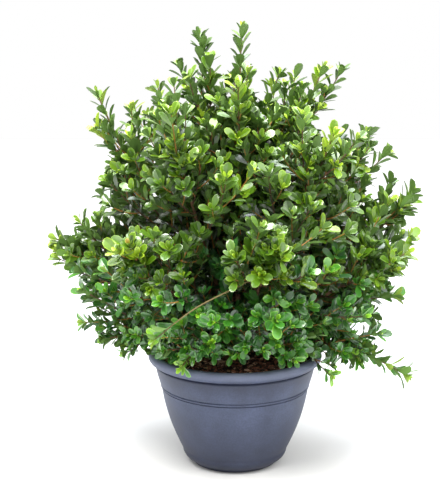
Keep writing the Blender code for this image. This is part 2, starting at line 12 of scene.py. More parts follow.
import bpy
import numpy as np
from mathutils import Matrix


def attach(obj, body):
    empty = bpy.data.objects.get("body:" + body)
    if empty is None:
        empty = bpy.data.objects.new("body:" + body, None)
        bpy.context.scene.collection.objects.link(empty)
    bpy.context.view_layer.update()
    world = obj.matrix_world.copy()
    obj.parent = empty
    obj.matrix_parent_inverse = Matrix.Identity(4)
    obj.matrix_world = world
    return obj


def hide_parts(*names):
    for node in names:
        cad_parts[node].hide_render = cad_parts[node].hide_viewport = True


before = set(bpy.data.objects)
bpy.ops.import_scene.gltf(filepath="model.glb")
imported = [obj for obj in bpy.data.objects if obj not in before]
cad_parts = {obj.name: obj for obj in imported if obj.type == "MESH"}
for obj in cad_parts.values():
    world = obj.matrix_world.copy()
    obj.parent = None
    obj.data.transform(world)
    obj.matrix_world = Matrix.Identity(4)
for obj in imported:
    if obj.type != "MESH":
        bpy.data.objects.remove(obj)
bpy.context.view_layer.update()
rng = np.random.default_rng(3)
chip_rng = np.random.default_rng(11)

# Sizes shared with the part's source
POT_HEIGHT, RIM_RADIUS, LIP_RADIUS = 0.200, 0.1525, 0.009
WALL, FLOOR = 0.004, 0.006
FOOT_RADIUS = 0.076
HEEL_RADIUS, HEEL_HEIGHT = 0.0925, 0.024
GROOVE_RADIUS, GROOVE_HEIGHT = 0.1297, 0.1375
COLLAR_TOP_RADIUS, COLLAR_TOP_HEIGHT = 0.1408, 0.1785
BODY_BULGE = 0.0052
DRAIN_RADIUS, DRAIN_CIRCLE, DRAIN_COUNT, DRAIN_HEADING = 0.006, 0.048, 5, 97.0
MIX_HEIGHT, MIX_FALL = 0.185, 0.004
SEAT_GAP = 0.0003
TRUNK_LEAN = (0.0035, 0.0015)
TRUNK_HEIGHT = 0.072
FLARE_RADIUS, NECK_RADIUS, CROWN_RADIUS = 0.027, 0.015, 0.0168
GOLDEN_ANGLE = math.radians(137.508)

Ring = namedtuple("Ring", "name level start root_radius bend_out bend_up limbs")
RINGS = (
    Ring("low", 0.2005, 0.008, 0.0039, 0.50, 0.058, (
        (348, 0.306, 0.166), (38, 0.290, 0.265), (88, 0.275, 0.250), (138, 0.280, 0.270),
        (189, 0.238, 0.224), (243, 0.205, 0.215), (297, 0.210, 0.230))),
    Ring("middle", 0.2175, 0.008, 0.0040, 0.54, 0.100, (
        (3, 0.314, 0.485), (47, 0.300, 0.455), (93, 0.290, 0.465), (138, 0.300, 0.450),
        (182, 0.317, 0.405), (230, 0.270, 0.410), (283, 0.245, 0.420), (333, 0.316, 0.405))),
    Ring("upper", 0.2345, 0.010, 0.0042, 0.54, 0.160, (
        (16, 0.245, 0.578), (54, 0.190, 0.683), (92, 0.205, 0.625), (130, 0.222, 0.660),
        (174, 0.242, 0.655), (236, 0.180, 0.590), (316, 0.216, 0.600))),
    Ring("top", 0.2525, 0.009, 0.0042, 0.42, 0.240, (
        (73, 0.034, 0.764), (152, 0.072, 0.754), (10, 0.156, 0.698), (278, 0.070, 0.655))),
)
BOUGH_SHARE = 0.34
TAPER_POWER = 0.85

# The crown's dome: the skin of the dense body, which the longest shoots pass
DOME_MIDDLE = np.array([0.000, 0.004, 0.375])
DOME_SPREAD, DOME_RISE, DOME_FALL = np.array([0.258, 0.248]), 0.240, 0.205

# Shoots: how many a parent has, the parent's share of the first and last, angle to the parent, length
TIP_LEAF_REACH = 0.009  # how far the last leaves pass the end of their shoot
SideRule = namedtuple("SideRule", "count first last angles lengths lift radii steps pride leaders")
SIDE = SideRule(14, 0.02, 0.97, (58, 26), (0.125, 0.070), 0.75, (0.0015, 0.0009), 8, 0.06, 0.42)
LOW_SIDE = SideRule(20, 0.02, 0.95, (74, 44), (0.125, 0.070), 0.45, (0.0015, 0.0009), 8, 0.08, 0.20)
SUB = SideRule(4, 0.18, 0.88, (50, 30), (0.066, 0.044), 0.75, (0.0011, 0.0007), 5, 0.06, 0.10)
STEM_STATIONS = 24

# Leaves
LEAF_LENGTH, LEAF_SLIMNESS = 0.0290, 0.46
LEAF_THICKNESS = 0.0005
LEAF_SPACING = 0.0074
LEADER_SPACING = 0.0058  # on the long shoots that stand proud
ROSETTE = 6
LOW_LEAF_SCALE = 0.80
LIMBS_PER_PIECE = 4

# The long, nearly bare shoot that crosses the crown's front from a middle limb: its curve's inner and last corners
CROSSING_LIMB, CROSSING_SHARE = "middle_7", 0.78
CROSSING_CURVE = ((0.030, -0.200, 0.372), (-0.050, -0.250, 0.352), (-0.126, -0.243, 0.287))


def unit(vectors):
    return vectors / np.linalg.norm(vectors, axis=-1, keepdims=True)


def mix_share(a, b, share):
    return a + (b - a) * share


def linear(hex_colour):
    """Linear colour of an sRGB hex value."""
    values = [int(hex_colour[i: i + 2], 16) / 255 for i in (1, 3, 5)]
    return tuple(v / 12.92 if v <= 0.04045 else ((v + 0.055) / 1.055) ** 2.4 for v in values)


def lattice_noise(points, size, seed=0):
    """Smooth noise from -1 to 1: random values on a cubic lattice of the given size, blended by a smooth step
    between the eight corners round each point."""
    scaled = np.asarray(points) / size
    cell = np.floor(scaled).astype(np.int64)
    part = scaled - cell
    part = part * part * (3 - 2 * part)
    total = np.zeros(scaled.shape[:-1])
    for corner in range(8):
        step = np.array([corner & 1, corner >> 1 & 1, corner >> 2 & 1])
        key = ((cell + step) * (73856093, 19349663, 83492791)).sum(-1) + seed * 2654435761
        key = (key ^ (key >> 13)) * 1274126177
        value = ((key ^ (key >> 16)) & 0xFFFF) / 32767.5 - 1
        total += value * np.prod(np.where(step, part, 1 - part), axis=-1)
    return total


# Meshes from arrays


def piece_from_arrays(name, points, face_groups, materials, picks=None, crease=None):
    """A mesh object from points (n, 3) and arrays of triangles or quads. picks numbers each face's material, and
    edges that turn by more than crease degrees stay sharp."""
    mesh = bpy.data.meshes.new(name)
    corners = np.concatenate([group.reshape(-1) for group in face_groups]).astype(np.int32)
    sizes = np.concatenate([np.full(len(group), group.shape[1]) for group in face_groups])
    mesh.vertices.add(len(points))
    mesh.vertices.foreach_set("co", np.asarray(points, np.float32).reshape(-1))
    mesh.loops.add(len(corners))
    mesh.loops.foreach_set("vertex_index", corners)
    mesh.polygons.add(len(sizes))
    mesh.polygons.foreach_set("loop_start", np.concatenate([[0], np.cumsum(sizes)[:-1]]).astype(np.int32))
    for material in materials:
        mesh.materials.append(material)
    if picks is not None:
        mesh.polygons.foreach_set("material_index", np.asarray(picks, np.int32))
    mesh.update(calc_edges=True)
    mesh.shade_smooth()
    if crease is not None:
        mesh.set_sharp_from_angle(angle=math.radians(crease))
    made = bpy.data.objects.new(name, mesh)
    bpy.context.scene.collection.objects.link(made)
    return made


def dress(made, slot, *nodes):
    """The piece rides on the part and stands for the nodes, which are hidden. slot is not used."""
    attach(made, "root")
    if nodes:
        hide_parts(*nodes)
    return made


def transported(paths):
    """Tangents and two vectors across them for a batch of paths (batch, stations, 3), carried without twist."""
    tangents = unit(np.gradient(paths, axis=1))
    steep = np.abs(tangents[:, 0, 2]) > 0.9
    start = np.where(steep[:, None], (1.0, 0.0, 0.0), (0.0, 0.0, 1.0))
    across = [unit(np.cross(tangents[:, 0], start))]
    for station in range(1, paths.shape[1]):
        along = tangents[:, station]
        across.append(unit(across[-1] - along * (across[-1] * along).sum(-1, keepdims=True)))
    across = np.stack(across, axis=1)
    return tangents, across, np.cross(tangents, across)


def tubes(paths, radii, sides, relief=None):
    """Closed tubes along a batch of paths: a circle of the path's radius, times 1 + relief, is carried along each,
    and both ends close on a point. Returns points and triangle and quad arrays."""
    batch, stations = paths.shape[:2]
    _, across, over = transported(paths)
    turns = np.arange(sides) * 2 * math.pi / sides
    ring = across[:, :, None] * np.cos(turns)[:, None] + over[:, :, None] * np.sin(turns)[:, None]
    swell = radii[:, :, None] * (1 if relief is None else 1 + relief)
    skin = paths[:, :, None] + ring * np.broadcast_to(swell, ring.shape[:3])[..., None]
    points = np.concatenate([skin.reshape(batch, -1, 3), paths[:, :1], paths[:, -1:]], axis=1)
    each = stations * sides + 2
    side = np.arange(sides)
    after = (side + 1) % sides
    rows = np.arange(stations - 1)[:, None] * sides
    quads = np.stack([rows + side, rows + after, rows + sides + after, rows + sides + side], axis=-1).reshape(-1, 4)
    last = (stations - 1) * sides
    foot = np.stack([np.full(sides, each - 2), after, side], axis=-1)
    head = np.stack([np.full(sides, each - 1), last + side, last + after], axis=-1)
    offsets = (np.arange(batch) * each)[:, None, None]
    quads = (quads + offsets).reshape(-1, 4)
    caps = (np.concatenate([foot, head]) + offsets).reshape(-1, 3)
    return points.reshape(-1, 3), [quads, caps]


def lathe(profile, sides):
    """A closed skin of a profile of (radius, height) from axis to axis, turned about Z: each inner point becomes a
    circle, and the two axis points close it with fans."""
    profile = np.asarray(profile)
    turns = np.arange(sides) * 2 * math.pi / sides
    inner = profile[1:-1]
    skin = np.stack([
        inner[:, :1] * np.cos(turns), inner[:, :1] * np.sin(turns), np.repeat(inner[:, 1:], sides, axis=1),
    ], axis=-1)
    points = np.concatenate([skin.reshape(-1, 3), [[0, 0, profile[0, 1]]], [[0, 0, profile[-1, 1]]]])
    side = np.arange(sides)
    after = (side + 1) % sides
    rows = np.arange(len(inner) - 1)[:, None] * sides
    quads = np.stack([rows + side, rows + after, rows + sides + after, rows + sides + side], axis=-1).reshape(-1, 4)
    last = (len(inner) - 1) * sides
    foot = np.stack([np.full(sides, len(points) - 2), after, side], axis=-1)
    head = np.stack([np.full(sides, len(points) - 1), last + side, last + after], axis=-1)
    return points, [quads, np.concatenate([foot, head])]


# Materials


def add_node(tree, kind, settings=None, inputs=None):
    """Adds a node with its settings, and sets or links its inputs."""
    node = tree.nodes.new(kind)
    for key, value in (settings or {}).items():
        setattr(node, key, value)
    for key, value in (inputs or {}).items():
        if isinstance(value, bpy.types.NodeSocket):
            tree.links.new(value, node.inputs[key])
        else:
            node.inputs[key].default_value = value
    return node


def shader_material(name, colour, roughness, **values):
    """A Principled material with plain values on its own sockets. Returns it, its tree and its shader node."""
    material = bpy.data.materials.new(name)
    material.use_nodes = True
    shader = material.node_tree.nodes["Principled BSDF"]
    shader.inputs["Base Color"].default_value = (*linear(colour), 1)
    shader.inputs["Roughness"].default_value = roughness
    for key, value in values.items():
        shader.inputs[key.replace("_", " ")].default_value = value
    return material, material.node_tree, shader


def colour_ramp(tree, source, stops):
    """A colour ramp node from (place, hex colour) stops."""
    ramp = add_node(tree, "ShaderNodeValToRGB", inputs={"Fac": source})
    while len(ramp.color_ramp.elements) > len(stops):
        ramp.color_ramp.elements.remove(ramp.color_ramp.elements[-1])
    while len(ramp.color_ramp.elements) < len(stops):
        ramp.color_ramp.elements.new(1.0)
    for element, (place, colour) in zip(ramp.color_ramp.elements, stops):
        element.position = place
        element.color = (*linear(colour), 1)
    return ramp.outputs["Color"]


def moulded_polypropylene():
    """Moulded polypropylene, slate blue with a stone-like fleck: half matt, faint flow clouds, dark specks of
    about a millimetre and a skin of fine orange peel. Painted shade darkens it towards the foot and under the
    lip, and a painted highlight lightens the lip's top."""
    material, tree, shader = shader_material("slate_blue_polypropylene", "#373f56", 0.5, IOR=1.49)
    place = add_node(tree, "ShaderNodeTexCoord").outputs["Object"]
    cloud = add_node(tree, "ShaderNodeTexNoise", inputs={"Vector": place, "Scale": 26.0, "Detail": 5.0})
    tone = colour_ramp(tree, cloud.outputs["Fac"], [(0.32, "#323a52"), (0.50, "#3a435c"), (0.70, "#434c67")])
    fleck = add_node(tree, "ShaderNodeTexVoronoi", inputs={"Vector": place, "Scale": 260.0, "Randomness": 1.0})
    grain = add_node(tree, "ShaderNodeTexNoise", inputs={"Vector": place, "Scale": 340.0, "Detail": 3.0})
    shade = colour_ramp(tree, grain.outputs["Fac"], [(0.34, "#e2e2e4"), (0.66, "#ffffff")])
    tone = add_node(tree, "ShaderNodeMix", {"data_type": "RGBA", "blend_type": "MULTIPLY"}, {
        "Factor": 1.0, 6: tone, 7: shade}).outputs[2]
    patch = add_node(tree, "ShaderNodeTexNoise", inputs={"Vector": place, "Scale": 95.0, "Detail": 2.0})
    mask = add_node(tree, "ShaderNodeMath", {"operation": "MULTIPLY_ADD"}, {
        0: patch.outputs["Fac"], 1: 0.60, 2: -0.24})
    small = add_node(tree, "ShaderNodeMath", {"operation": "LESS_THAN"}, {
        0: fleck.outputs["Distance"], 1: mask.outputs[0]})
    strength = add_node(tree, "ShaderNodeMath", {"operation": "MULTIPLY"}, {0: small.outputs[0], 1: 0.85})
    flecked = add_node(tree, "ShaderNodeMix", {"data_type": "RGBA"}, {
        "Factor": strength.outputs[0], 6: tone, 7: (*linear("#262b38"), 1)})
    height = add_node(tree, "ShaderNodeSeparateXYZ", inputs={"Vector": place}).outputs["Z"]
    # Painted shade: the plastic darkens towards the foot, most at the floor and none from 0.12 m up.
    painted_foot_shade = add_node(tree, "ShaderNodeMapRange", inputs={
        "Value": height, "From Min": 0.0, "From Max": 0.12, "To Min": 0.72, "To Max": 0.0})
    # Painted shadow under the rolled lip: darker from 0.154 m up to the lip's underside at 0.183 m.
    painted_lip_shadow = add_node(tree, "ShaderNodeMapRange", inputs={
        "Value": height, "From Min": 0.154, "From Max": 0.178, "To Min": 0.0, "To Max": 0.62})
    below_lip = add_node(tree, "ShaderNodeMath", {"operation": "LESS_THAN"}, {0: height, 1: 0.1830})
    painted_lip_shadow = add_node(tree, "ShaderNodeMath", {"operation": "MULTIPLY"}, {
        0: painted_lip_shadow.outputs["Result"], 1: below_lip.outputs[0]})
    dark = add_node(tree, "ShaderNodeMath", {"operation": "MAXIMUM"}, {
        0: painted_foot_shade.outputs["Result"], 1: painted_lip_shadow.outputs[0]})
    # The painted shade at the foot and the painted shadow under the lip mix the plastic towards #0f142a.
    shaded = add_node(tree, "ShaderNodeMix", {"data_type": "RGBA"}, {
        "Factor": dark.outputs[0], 6: flecked.outputs[2], 7: (*linear("#0f142a"), 1)})
    # Painted highlight: the lip's top is lighter from 0.186 m up.
    rim = add_node(tree, "ShaderNodeMapRange", inputs={
        "Value": height, "From Min": 0.186, "From Max": 0.196, "To Min": 0.0, "To Max": 0.58})
    painted_lip_highlight = add_node(tree, "ShaderNodeMix", {"data_type": "RGBA"}, {
        "Factor": rim.outputs["Result"], 6: shaded.outputs[2], 7: (*linear("#828aa2"), 1)})
    tree.links.new(painted_lip_highlight.outputs[2], shader.inputs["Base Color"])
    gloss = add_node(tree, "ShaderNodeMapRange", inputs={
        "Value": cloud.outputs["Fac"], "To Min": 0.44, "To Max": 0.60})
    tree.links.new(gloss.outputs["Result"], shader.inputs["Roughness"])
    peel = add_node(tree, "ShaderNodeTexNoise", inputs={"Vector": place, "Scale": 420.0, "Detail": 2.0})
    bump = add_node(tree, "ShaderNodeBump", inputs={
        "Height": peel.outputs["Fac"], "Strength": 0.18, "Distance": 0.0004})
    tree.links.new(bump.outputs["Normal"], shader.inputs["Normal"])
    return material


def azalea_bark():
    """Thin azalea bark: grey-brown with warm streaks along the limb, dry and matt."""
    material, tree, shader = shader_material("azalea_bark", "#6e5340", 0.85, IOR=1.45)
    place = add_node(tree, "ShaderNodeTexCoord").outputs["Object"]
    streak = add_node(tree, "ShaderNodeTexNoise", inputs={"Vector": place, "Scale": 180.0, "Detail": 6.0})
    tone = colour_ramp(tree, streak.outputs["Fac"], [
        (0.28, "#3a2a20"), (0.45, "#6a4c37"), (0.60, "#86644a"), (0.78, "#a08c74")])
    tree.links.new(tone, shader.inputs["Base Color"])
    bump = add_node(tree, "ShaderNodeBump", inputs={
        "Height": streak.outputs["Fac"], "Strength": 0.5, "Distance": 0.0006})
    tree.links.new(bump.outputs["Normal"], shader.inputs["Normal"])
    return material


def damp_bark_mix():
    """Composted bark and peat between the chips: nearly black, crumbly, with rusty crumbs."""
    material, tree, shader = shader_material("damp_bark_mix", "#2a1b14", 0.95, IOR=1.4)
    place = add_node(tree, "ShaderNodeTexCoord").outputs["Object"]
    crumb = add_node(tree, "ShaderNodeTexNoise", inputs={"Vector": place, "Scale": 330.0, "Detail": 6.0})
    tone = colour_ramp(tree, crumb.outputs["Fac"], [
        (0.36, "#160e0a"), (0.50, "#3a241a"), (0.62, "#623a28"), (0.74, "#96634a")])
    tree.links.new(tone, shader.inputs["Base Color"])
    bump = add_node(tree, "ShaderNodeBump", inputs={
        "Height": crumb.outputs["Fac"], "Strength": 0.9, "Distance": 0.0015})
    tree.links.new(bump.outputs["Normal"], shader.inputs["Normal"])
    return material


# Pot and bark mix


def arc(centre, radius, start, end, steps):
    """Points of a circle round centre, from start to end in degrees."""
    angles = np.radians(np.linspace(start, end, steps + 1))
    return np.stack([centre[0] + radius * np.cos(angles), centre[1] + radius * np.sin(angles)], axis=1)


def side_line(steps):
    """The pot's side from heel to groove, a straight taper bowed out by BODY_BULGE."""
    t = np.linspace(0, 1, steps + 1)
    return np.stack([
        mix_share(HEEL_RADIUS, GROOVE_RADIUS, t) + BODY_BULGE * 4 * t * (1 - t),
        mix_share(HEEL_HEIGHT, GROOVE_HEIGHT, t),
    ], axis=1)


def pot_profile():
    """Profile from the middle of the underside, up the outside, over the rolled lip and down the inside."""
    lip = (RIM_RADIUS - LIP_RADIUS, POT_HEIGHT - LIP_RADIUS)
    heel_radius = HEEL_HEIGHT - 0.005
    heel = arc((HEEL_RADIUS - heel_radius, HEEL_HEIGHT), heel_radius, -62, -4, 10)
    r, z = GROOVE_RADIUS, GROOVE_HEIGHT
    groove = [
        (r - 0.0002, z - 0.0022), (r - 0.0016, z - 0.0015), (r - 0.0016, z - 0.0009), (r + 0.0008, z - 0.0001),
        (r + 0.0015, z + 0.0010), (r + 0.0016, z + 0.0024), (r + 0.0012, z + 0.0032), (r + 0.0002, z + 0.0038),
        (r + 0.0002, z + 0.0043), (r + 0.0021, z + 0.0051),
    ]
    collar_turns = np.linspace(0, 1, 12)[1:]
    collar = np.stack([
        mix_share(r + 0.0021, COLLAR_TOP_RADIUS, collar_turns) + 0.0005 * np.sin(math.pi * collar_turns),
        mix_share(z + 0.0051, COLLAR_TOP_HEIGHT - 0.0025, collar_turns),
    ], axis=1)
    neck = [
        (COLLAR_TOP_RADIUS - 0.0003, COLLAR_TOP_HEIGHT - 0.0012), (COLLAR_TOP_RADIUS - 0.0014, COLLAR_TOP_HEIGHT),
        (COLLAR_TOP_RADIUS - 0.0022, COLLAR_TOP_HEIGHT + 0.0014), (COLLAR_TOP_RADIUS - 0.0022,
                                                                   COLLAR_TOP_HEIGHT + 0.0026),
    ]
    inside = [
        (RIM_RADIUS - 2 * LIP_RADIUS + 0.0012, POT_HEIGHT - LIP_RADIUS + 0.002),
        (RIM_RADIUS - 2 * LIP_RADIUS + 0.0006, POT_HEIGHT - LIP_RADIUS),
        (COLLAR_TOP_RADIUS - WALL - 0.003, COLLAR_TOP_HEIGHT - 0.006),
        (GROOVE_RADIUS - WALL, GROOVE_HEIGHT),
        (mix_share(HEEL_RADIUS, GROOVE_RADIUS, 0.5) + BODY_BULGE - WALL, mix_share(HEEL_HEIGHT, GROOVE_HEIGHT, 0.5)),
        (HEEL_RADIUS - WALL, HEEL_HEIGHT), (FOOT_RADIUS - WALL, FLOOR), (0.030, FLOOR), (0.0, FLOOR),
    ]
    foot = [(0.0, 0.0), (0.03, 0.0), (FOOT_RADIUS - 0.0022, 0.0), (FOOT_RADIUS - 0.0008, 0.0005), (FOOT_RADIUS,
            0.0015), (FOOT_RADIUS + 0.0016, 0.0032)]
    return np.concatenate([foot, heel, side_line(26)[:-1], groove, collar, neck, arc(lip, LIP_RADIUS, -122, 150, 26), inside])


def cut_drains(pot, material):
    """Takes the drain holes out of the pot's floor."""
    for i in range(DRAIN_COUNT):
        heading = math.radians(DRAIN_HEADING + i * 360 / DRAIN_COUNT)
        points, faces = lathe([(0, -FLOOR), (DRAIN_RADIUS, -FLOOR), (DRAIN_RADIUS, 2 * FLOOR), (0, 2 * FLOOR)], 20)
        points = points + (DRAIN_CIRCLE * math.cos(heading), DRAIN_CIRCLE * math.sin(heading), 0)
        drill = piece_from_arrays("drain", points, faces, [material])
        cut = pot.modifiers.new("drain", "BOOLEAN")
        cut.operation, cut.object, cut.solver = "DIFFERENCE", drill, "EXACT"
        graph = bpy.context.evaluated_depsgraph_get()
        result = bpy.data.meshes.new_from_object(pot.evaluated_get(graph))
        pot.modifiers.clear()
        pot.data = result
        bpy.data.objects.remove(drill)


def make_pot():
    plastic = moulded_polypropylene()
    pot = piece_from_arrays("pot_shell", *lathe(pot_profile(), 144), [plastic])
    cut_drains(pot, plastic)
    pot.data.set_sharp_from_angle(angle=math.radians(35))
    dress(pot, "pot", "pot")


def inner_radius(height):
    """The pot's inner wall at a height."""
    heights = [FLOOR, HEEL_HEIGHT, mix_share(HEEL_HEIGHT, GROOVE_HEIGHT, 0.5), GROOVE_HEIGHT, COLLAR_TOP_HEIGHT - 0.006,
               POT_HEIGHT - LIP_RADIUS]
    radii = [FOOT_RADIUS - WALL, HEEL_RADIUS - WALL, mix_share(HEEL_RADIUS, GROOVE_RADIUS, 0.5) + BODY_BULGE - WALL,
             GROOVE_RADIUS - WALL, COLLAR_TOP_RADIUS - WALL - 0.003, RIM_RADIUS - 2 * LIP_RADIUS + 0.0006]
    return np.interp(height, heights, radii)


def mix_height(x, y):
    """Height of the mix's top: a fall from trunk to wall, low waves of 3 cm and crumbs of 6 mm."""
    radius = np.hypot(x, y)
    at = np.stack([x, y, np.zeros_like(x)], axis=-1)
    share = radius / inner_radius(MIX_HEIGHT)
    flat = np.clip((radius - FLARE_RADIUS) / 0.02, 0, 1)
    rough = 0.0018 * lattice_noise(at, 0.03, 3) + 0.0012 * lattice_noise(at, 0.006, 4)
    return MIX_HEIGHT - MIX_FALL * share**2 * flat + rough * flat


def make_mix():
    """The filling: a closed plug against the pot's inner wall, with its crumbly top."""
    wall_heights = np.array([FLOOR + SEAT_GAP, HEEL_HEIGHT, 0.08, GROOVE_HEIGHT, MIX_HEIGHT - 0.012])
    wall = np.stack([inner_radius(wall_heights) - SEAT_GAP, wall_heights], axis=1)
    top_radii = np.linspace(inner_radius(MIX_HEIGHT - MIX_FALL) - SEAT_GAP, 0.002, 50)
    profile = np.concatenate([[(0, wall_heights[0])], wall, np.stack([top_radii, top_radii * 0 + MIX_HEIGHT], axis=1),
                              [(0, MIX_HEIGHT)]])
    points, faces = lathe(profile, 150)
    top = points[:, 2] > MIX_HEIGHT - 0.001
    points[top, 2] = mix_height(points[top, 0], points[top, 1])
    mix = piece_from_arrays("bark_mix", points, faces, [damp_bark_mix()], crease=50)
    dress(mix, "potting_mix", "potting_mix")


def make_chips(count=2000):
    """Bark chips on the mix: flat hexagonal slivers, stretched, jittered corner by corner, tilted and half sunk."""
    spread = np.sqrt(chip_rng.uniform((FLARE_RADIUS / 0.13) ** 2, 1, count)) * 0.1305
    heading = chip_rng.uniform(0, 2 * math.pi, count)
    x, y = spread * np.cos(heading), spread * np.sin(heading)
    length = chip_rng.gamma(5.0, 0.0011, count) + 0.003
    width = length * chip_rng.uniform(0.35, 0.75, count)
    thick = chip_rng.uniform(0.0009, 0.0022, count)
    turns = np.arange(6) * math.pi / 3
    outline = np.stack([np.cos(turns), np.sin(turns)], axis=-1)
    corners = np.zeros((count, 12, 3))
    corners[:, :6, :2] = outline
    corners[:, 6:, :2] = outline * 0.86
    corners[:, :6, 2], corners[:, 6:, 2] = -0.5, 0.5
    corners[:, :, :2] *= 1 + chip_rng.uniform(-0.28, 0.28, (count, 12, 1))
    corners[:, :, 2] += chip_rng.uniform(-0.18, 0.18, (count, 12))
    corners *= np.stack([length / 2, width / 2, thick], axis=-1)[:, None]
    yaw, tilt, roll = chip_rng.uniform(0, 2 * math.pi, count), chip_rng.normal(0, 0.32, count), chip_rng.normal(0, 0.32, count)
    ax = np.stack([np.cos(yaw) * np.cos(tilt), np.sin(yaw) * np.cos(tilt), np.sin(tilt)], axis=-1)
    flat = np.stack([-np.sin(yaw), np.cos(yaw), np.sin(roll)], axis=-1)
    ay = unit(flat - ax * (flat * ax).sum(-1, keepdims=True))
    az = np.cross(ax, ay)
    middle = np.stack([x, y, mix_height(x, y) + thick * 0.5 + chip_rng.uniform(-0.0006, 0.0022, count)], axis=-1)
    points = middle[:, None] + sum(corners[:, :, k: k + 1] * axis[:, None] for k, axis in enumerate((ax, ay, az)))
    keep = np.hypot(points[..., 0], points[..., 1]).max(1) < inner_radius(MIX_HEIGHT) - 0.0008
    points = points[keep]
    side = np.arange(6)
    after = (side + 1) % 6
    walls = np.stack([side, after, after + 6, side + 6], axis=-1)
    base = np.array([[0, 3, 2], [0, 2, 1], [0, 5, 3], [5, 4, 3]])
    lid = base[:, ::-1] + 6
    offsets = (np.arange(len(points)) * 12)[:, None, None]
    quads = (walls + offsets).reshape(-1, 4)
    triangles = (np.concatenate([base, lid]) + offsets).reshape(-1, 3)
    shades = [shader_material(name, colour, 0.88, IOR=1.45)[0] for name, colour in (
        ("bark_chip_black", "#35231b"), ("bark_chip_umber", "#6f4b3c"), ("bark_chip_rust", "#a06a55"),
        ("bark_chip_tan", "#dab89c"))]
    shade = chip_rng.choice(4, len(points), p=(0.26, 0.34, 0.25, 0.15))
    picks = np.concatenate([np.repeat(shade, 6), np.repeat(shade, 8)])
    chips = piece_from_arrays("bark_chips", points.reshape(-1, 3), [quads, triangles], shades, picks, crease=25)
    dress(chips, "potting_mix")


# Trunk, limbs and shoots


def limb_lines():
    """Every limb's axis by the source's rule: a quadratic curve from inside the trunk, by a bend, to its last bud,
    resampled at even lengths. Returns (limbs, stations, 3), and each limb's root radius."""
    lines, radii = [], []
    t = np.linspace(0, 1, 81)[:, None]
    for ring in RINGS:
        for heading, spread, height in ring.limbs:
            out = np.array([math.cos(math.radians(heading)), math.sin(math.radians(heading)), 0])
            share = (ring.level - MIX_HEIGHT) / TRUNK_HEIGHT
            root = np.array([TRUNK_LEAN[0] * share**2, TRUNK_LEAN[1] * share**2, ring.level]) + out * ring.start
            bend = out * spread * ring.bend_out + np.array([0, 0, ring.level + ring.bend_up])
            tip = out * spread + np.array([0, 0, height])
            tip = tip - unit(tip - bend) * TIP_LEAF_REACH
            curve = (1 - t) ** 2 * root + 2 * t * (1 - t) * bend + t**2 * tip
            lines.append(even_line(curve, 61))
            radii.append(ring.root_radius)
    return np.array(lines), np.array(radii)


def even_line(line, stations):
    """The line resampled at even lengths."""
    lengths = np.concatenate([[0], np.cumsum(np.linalg.norm(np.diff(line, axis=0), axis=1))])
    at = np.linspace(0, lengths[-1], stations)
    return np.stack([np.interp(at, lengths, line[:, k]) for k in range(3)], axis=1)


def limb_radii(root_radii, shares, tip=0.0011):
    return tip + (root_radii[:, None] - tip) * (1 - shares) ** TAPER_POWER


def points_at(paths, shares):
    """Points of a batch of even paths at shares of their length (batch, k), and the station just below each."""
    steps = paths.shape[1] - 1
    place = shares * steps
    low = np.clip(place.astype(int), 0, steps - 1)
    row = np.arange(len(paths))[:, None]
    part = (place - low)[..., None]
    return mix_share(paths[row, low], paths[row, low + 1], part), low


def dome_share(points):
    """How far out a point lies in the crown's body: 0 at its middle, 1 on the dome's skin, an ellipsoid that rises
    further above its widest level than it falls below."""
    apart = points - DOME_MIDDLE
    rise = np.where(apart[..., 2] > 0, apart[..., 2] / DOME_RISE, apart[..., 2] / DOME_FALL)
    return np.sqrt(((apart[..., :2] / DOME_SPREAD) ** 2).sum(-1) + rise**2)


def above_skirt(points, slack=0.0):
    """True above the crown's underside, which rises from the bark mix outwards, and faster at the front, where the
    mix shows under the leaves."""
    across = np.hypot(points[..., 0], points[..., 1])
    front = np.clip((-points[..., 1] / (across + 0.001) - 0.50) / 0.25, 0, 1)
    return points[..., 2] > 0.208 + across * (0.12 + 0.14 * front) - slack


def clear_of_pot(points, margin=0.0):
    """True for points above the rim's top or outside the pot's wall."""
    across = np.hypot(points[..., 0], points[..., 1])
    over = points[..., 2] > POT_HEIGHT + 0.002 + margin
    beside = (across > RIM_RADIUS + 0.004 + margin) & (points[..., 2] > 0.05)
    return over | beside


def leaves_dome(paths):
    """The share of each path's length where it leaves the dome, or 1."""
    inside = dome_share(paths) < 1.0
    return np.maximum(inside.sum(1) / paths.shape[1], 0.60)


